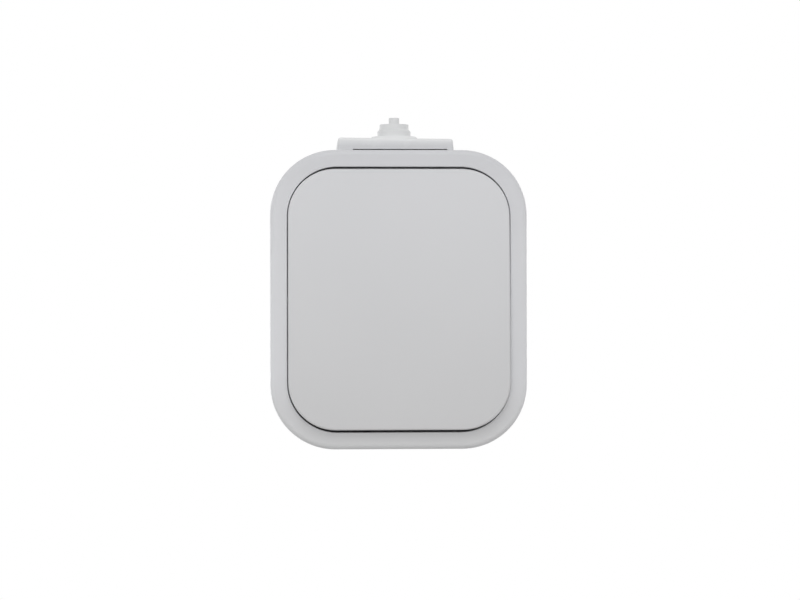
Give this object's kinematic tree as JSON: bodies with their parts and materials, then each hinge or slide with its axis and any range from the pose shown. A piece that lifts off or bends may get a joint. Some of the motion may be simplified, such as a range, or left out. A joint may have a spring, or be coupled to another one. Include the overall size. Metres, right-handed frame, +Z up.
{
  "type": "outdoor weatherproof switch",
  "caption": "Surface-mounted weatherproof light switch: a rounded cover with one large rocker, a wall box, a rubber cable entry on top and the switching mechanism inside.",
  "frame": {"origin": "centre of the four wall fixings, on the back face of the wall box", "axes": "+X to the right seen from the front, +Y into the wall, +Z up"},
  "size_m": [0.07, 0.0475, 0.0926],
  "materials": {
    "cover_plastic": "satin white moulding",
    "rocker_plastic": "satin white moulding",
    "box_plastic": "fine matt white moulding",
    "gland_rubber": "smooth soft white rubber",
    "seal_rubber": "smooth dark rubber",
    "inner_plastic": "matt grey moulding",
    "plated_steel": "zinc plated",
    "terminal_brass": "pressed strip",
    "contact_silver": "silver contact face"
  },
  "bodies": {
    "housing": {"back_box": "box_plastic", "cable_gland": "gland_rubber", "cover_frame": "cover_plastic", "cover_gasket": "seal_rubber", "cover_screws": "plated_steel", "screw_seals": "seal_rubber", "drive_seal": "seal_rubber", "contact_block": "inner_plastic", "mounting_strap": "plated_steel", "strap_screws": "plated_steel", "strap_rivets": "plated_steel", "pivot_bridge": "inner_plastic", "fixed_contact": "contact_silver", "common_terminal": "terminal_brass", "switched_terminal": "terminal_brass", "terminal_clamps": "plated_steel", "terminal_screws": "plated_steel"},
    "rocker": {"rocker": "rocker_plastic"},
    "dolly": {"dolly": "inner_plastic", "dolly_spring": "plated_steel", "spring_plunger": "inner_plastic"},
    "lever": {"contact_lever": "terminal_brass", "lever_contact": "contact_silver"}
  },
  "joints": [
    {"name": "rocker_tilt", "type": "hinge", "parent": "housing", "child": "rocker", "pos_m": [0, -0.0416, 0], "axis": [1, 0, 0], "range_deg": [0, 6]},
    {"name": "dolly_tilt", "type": "hinge", "parent": "housing", "child": "dolly", "pos_m": [0, -0.028, 0], "axis": [1, 0, 0], "range_deg": [-17, 0]},
    {"name": "lever_tilt", "type": "hinge", "parent": "housing", "child": "lever", "pos_m": [0, -0.0132, 0], "axis": [1, 0, 0], "range_deg": [0, 14]}
  ],
  "couplings": [
    {"joint": "dolly_tilt", "follows": "rocker_tilt", "ratio": -2.4},
    {"joint": "lever_tilt", "follows": "rocker_tilt", "ratio": 2}
  ]
}
